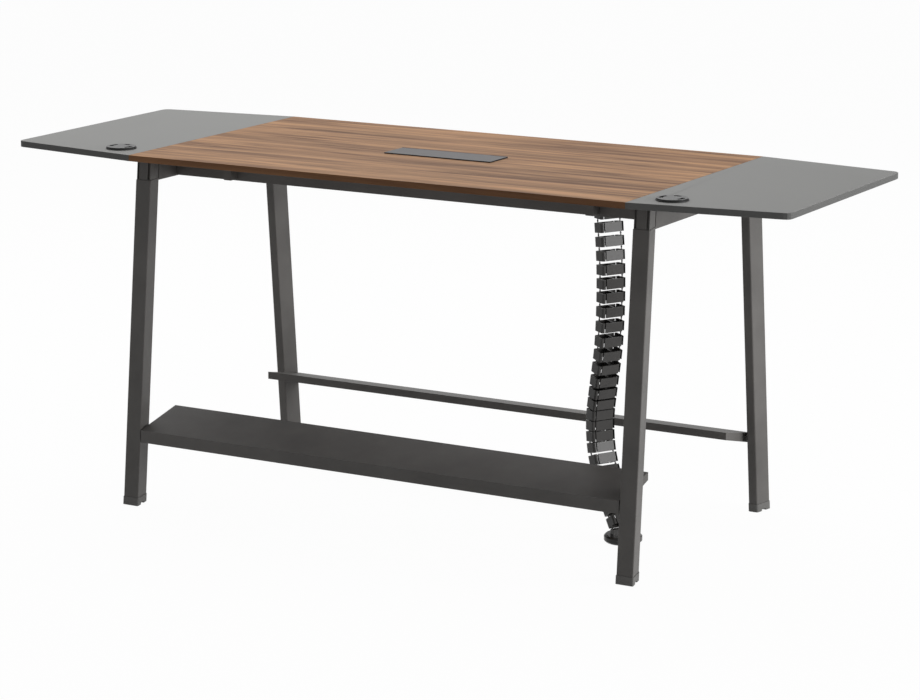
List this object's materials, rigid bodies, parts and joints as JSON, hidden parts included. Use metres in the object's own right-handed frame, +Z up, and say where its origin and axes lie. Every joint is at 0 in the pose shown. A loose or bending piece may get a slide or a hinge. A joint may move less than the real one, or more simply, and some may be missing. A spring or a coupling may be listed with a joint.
{
  "type": "standing meeting table",
  "caption": "Bar-height meeting table with tapered ends, leaning steel legs, sloped footrests, a lidded power box, cable grommets and a jointed cable spine.",
  "frame": {"origin": "on the floor under the middle of the top", "axes": "+X along the table towards the cable spine, +Y from the grommet side to the other side, +Z up"},
  "size_m": [2.5, 0.911, 1.057],
  "materials": {
    "wood_top": "satin oiled-look lengthwise grain",
    "grey_top": "matt grey laminate on board",
    "frame_paint": "fine-texture powder coat",
    "foot_plastic": "matt",
    "lid_metal": "fine brushed",
    "steel": "plain",
    "dark_plastic": "matt",
    "grommet_plastic": "satin",
    "spine_plastic": "semi-gloss"
  },
  "bodies": {
    "table_frame": {"back_footrest": "frame_paint", "back_left_bracket": "frame_paint", "back_left_foot_cap": "foot_plastic", "back_left_leg": "frame_paint", "back_left_leg_connector": "frame_paint", "back_long_rail": "frame_paint", "back_right_bracket": "frame_paint", "back_right_foot_cap": "foot_plastic", "back_right_leg": "frame_paint", "back_right_leg_connector": "frame_paint", "centre_panel": "wood_top", "front_footrest": "frame_paint", "front_left_bracket": "frame_paint", "front_left_foot_cap": "foot_plastic", "front_left_leg": "frame_paint", "front_left_leg_connector": "frame_paint", "front_long_rail": "frame_paint", "front_right_bracket": "frame_paint", "front_right_foot_cap": "foot_plastic", "front_right_leg": "frame_paint", "front_right_leg_connector": "frame_paint", "left_cross_beam": "frame_paint", "left_end_panel": "grey_top", "left_grommet_sleeve": "dark_plastic", "lid_hinge_pin": "steel", "power_tray": "dark_plastic", "right_cross_beam": "frame_paint", "right_end_panel": "grey_top", "right_grommet_sleeve": "dark_plastic", "socket_strip": "dark_plastic", "spine_mount": "spine_plastic"},
    "spine_link_1": {"spine_link_1": "spine_plastic"},
    "spine_link_2": {"spine_link_2": "spine_plastic"},
    "spine_link_3": {"spine_link_3": "spine_plastic"},
    "spine_link_4": {"spine_link_4": "spine_plastic"},
    "spine_link_5": {"spine_link_5": "spine_plastic"},
    "spine_link_6": {"spine_link_6": "spine_plastic"},
    "spine_link_7": {"spine_link_7": "spine_plastic"},
    "spine_link_8": {"spine_link_8": "spine_plastic"},
    "spine_link_9": {"spine_link_9": "spine_plastic"},
    "spine_link_10": {"spine_link_10": "spine_plastic"},
    "spine_link_11": {"spine_link_11": "spine_plastic"},
    "spine_link_12": {"spine_link_12": "spine_plastic"},
    "spine_link_13": {"spine_link_13": "spine_plastic"},
    "spine_link_14": {"spine_link_14": "spine_plastic"},
    "spine_link_15": {"spine_link_15": "spine_plastic"},
    "spine_link_16": {"spine_link_16": "spine_plastic"},
    "spine_link_17": {"spine_link_17": "spine_plastic"},
    "spine_link_18": {"spine_link_18": "spine_plastic"},
    "spine_link_19": {"spine_link_19": "spine_plastic"},
    "spine_link_20": {"spine_link_20": "spine_plastic"},
    "spine_link_21": {"spine_link_21": "spine_plastic"},
    "spine_link_22": {"spine_link_22": "spine_plastic"},
    "spine_link_23": {"spine_link_23": "spine_plastic"},
    "spine_link_24": {"spine_link_24": "spine_plastic"},
    "spine_base": {"spine_base": "spine_plastic"},
    "power_lid": {"power_lid": "lid_metal"},
    "left_grommet_cap": {"left_grommet_cap": "grommet_plastic"},
    "right_grommet_cap": {"right_grommet_cap": "grommet_plastic"}
  },
  "joints": [
    {"name": "lid_hinge", "type": "hinge", "parent": "table_frame", "child": "power_lid", "pos_m": [0, 0.0535, 1.0523], "axis": [-1, 0, 0], "range_deg": [0, 100]},
    {"name": "left_cap_lift", "type": "slide", "parent": "table_frame", "child": "left_grommet_cap", "axis": [0, 0, 1], "range_m": [0, 0.06]},
    {"name": "right_cap_lift", "type": "slide", "parent": "table_frame", "child": "right_grommet_cap", "axis": [0, 0, 1], "range_m": [0, 0.06]},
    {"name": "spine_flex_1", "type": "hinge", "parent": "table_frame", "child": "spine_link_1", "pos_m": [0.54433, -0.026, 0.915], "axis": [0.5, 0.866, 0], "range_deg": [-1.5, 1.5]},
    {"name": "spine_flex_2", "type": "hinge", "parent": "spine_link_1", "child": "spine_link_2", "pos_m": [0.54843, -0.02837, 0.87535], "axis": [0.5, 0.866, 0], "range_deg": [-1.5, 1.5]},
    {"name": "spine_flex_3", "type": "hinge", "parent": "spine_link_2", "child": "spine_link_3", "pos_m": [0.55254, -0.03074, 0.83569], "axis": [0.5, 0.866, 0], "range_deg": [-1.5, 1.5]},
    {"name": "spine_flex_4", "type": "hinge", "parent": "spine_link_3", "child": "spine_link_4", "pos_m": [0.55558, -0.0325, 0.796], "axis": [0.5, 0.866, 0], "range_deg": [-1.5, 1.5]},
    {"name": "spine_flex_5", "type": "hinge", "parent": "spine_link_4", "child": "spine_link_5", "pos_m": [0.5572, -0.03343, 0.75653], "axis": [0.5, 0.866, 0], "range_deg": [-1.5, 1.5]},
    {"name": "spine_flex_6", "type": "hinge", "parent": "spine_link_5", "child": "spine_link_6", "pos_m": [0.55776, -0.03376, 0.71702], "axis": [0.5, 0.866, 0], "range_deg": [-1.5, 1.5]},
    {"name": "spine_flex_7", "type": "hinge", "parent": "spine_link_6", "child": "spine_link_7", "pos_m": [0.55732, -0.0335, 0.677], "axis": [0.5, 0.866, 0], "range_deg": [-1.5, 1.5]},
    {"name": "spine_flex_8", "type": "hinge", "parent": "spine_link_7", "child": "spine_link_8", "pos_m": [0.55593, -0.0327, 0.6341], "axis": [0.5, 0.866, 0], "range_deg": [-1.5, 1.5]},
    {"name": "spine_flex_9", "type": "hinge", "parent": "spine_link_8", "child": "spine_link_9", "pos_m": [0.55346, -0.03127, 0.59065], "axis": [0.5, 0.866, 0], "range_deg": [-1.5, 1.5]},
    {"name": "spine_flex_10", "type": "hinge", "parent": "spine_link_9", "child": "spine_link_10", "pos_m": [0.54952, -0.029, 0.548], "axis": [0.5, 0.866, 0], "range_deg": [-1.5, 1.5]},
    {"name": "spine_flex_11", "type": "hinge", "parent": "spine_link_10", "child": "spine_link_11", "pos_m": [0.5436, -0.02558, 0.50813], "axis": [0.5, 0.866, 0], "range_deg": [-1.5, 1.5]},
    {"name": "spine_flex_12", "type": "hinge", "parent": "spine_link_11", "child": "spine_link_12", "pos_m": [0.53633, -0.02138, 0.46901], "axis": [0.5, 0.866, 0], "range_deg": [-1.5, 1.5]},
    {"name": "spine_flex_13", "type": "hinge", "parent": "spine_link_12", "child": "spine_link_13", "pos_m": [0.5296, -0.0175, 0.431], "axis": [0.5, 0.866, 0], "range_deg": [-1.5, 1.5]},
    {"name": "spine_flex_14", "type": "hinge", "parent": "spine_link_13", "child": "spine_link_14", "pos_m": [0.52381, -0.01415, 0.39771], "axis": [0.5, 0.866, 0], "range_deg": [-1.5, 1.5]},
    {"name": "spine_flex_15", "type": "hinge", "parent": "spine_link_14", "child": "spine_link_15", "pos_m": [0.51847, -0.01107, 0.36534], "axis": [0.5, 0.866, 0], "range_deg": [-1.5, 1.5]},
    {"name": "spine_flex_16", "type": "hinge", "parent": "spine_link_15", "child": "spine_link_16", "pos_m": [0.51575, -0.0095, 0.333], "axis": [0.5, 0.866, 0], "range_deg": [-1.5, 1.5]},
    {"name": "spine_flex_17", "type": "hinge", "parent": "spine_link_16", "child": "spine_link_17", "pos_m": [0.51608, -0.00969, 0.30054], "axis": [0.5, 0.866, 0], "range_deg": [-1.5, 1.5]},
    {"name": "spine_flex_18", "type": "hinge", "parent": "spine_link_17", "child": "spine_link_18", "pos_m": [0.51899, -0.01137, 0.2681], "axis": [0.5, 0.866, 0], "range_deg": [-1.5, 1.5]},
    {"name": "spine_flex_19", "type": "hinge", "parent": "spine_link_18", "child": "spine_link_19", "pos_m": [0.52527, -0.015, 0.236], "axis": [0.5, 0.866, 0], "range_deg": [-1.5, 1.5]},
    {"name": "spine_flex_20", "type": "hinge", "parent": "spine_link_19", "child": "spine_link_20", "pos_m": [0.53697, -0.02176, 0.20171], "axis": [0.5, 0.866, 0], "range_deg": [-1.5, 1.5]},
    {"name": "spine_flex_21", "type": "hinge", "parent": "spine_link_20", "child": "spine_link_21", "pos_m": [0.55258, -0.03077, 0.16781], "axis": [0.5, 0.866, 0], "range_deg": [-1.5, 1.5]},
    {"name": "spine_flex_22", "type": "hinge", "parent": "spine_link_21", "child": "spine_link_22", "pos_m": [0.56944, -0.0405, 0.135], "axis": [0.5, 0.866, 0], "range_deg": [-1.5, 1.5]},
    {"name": "spine_flex_23", "type": "hinge", "parent": "spine_link_22", "child": "spine_link_23", "pos_m": [0.58681, -0.05053, 0.1043], "axis": [0.5, 0.866, 0], "range_deg": [-1.5, 1.5]},
    {"name": "spine_flex_24", "type": "hinge", "parent": "spine_link_23", "child": "spine_link_24", "pos_m": [0.60541, -0.06127, 0.07465], "axis": [0.5, 0.866, 0], "range_deg": [-1.5, 1.5]},
    {"name": "spine_flex_25", "type": "hinge", "parent": "spine_link_24", "child": "spine_base", "pos_m": [0.624, -0.072, 0.045], "axis": [0.5, 0.866, 0], "range_deg": [-1.5, 1.5]}
  ]
}
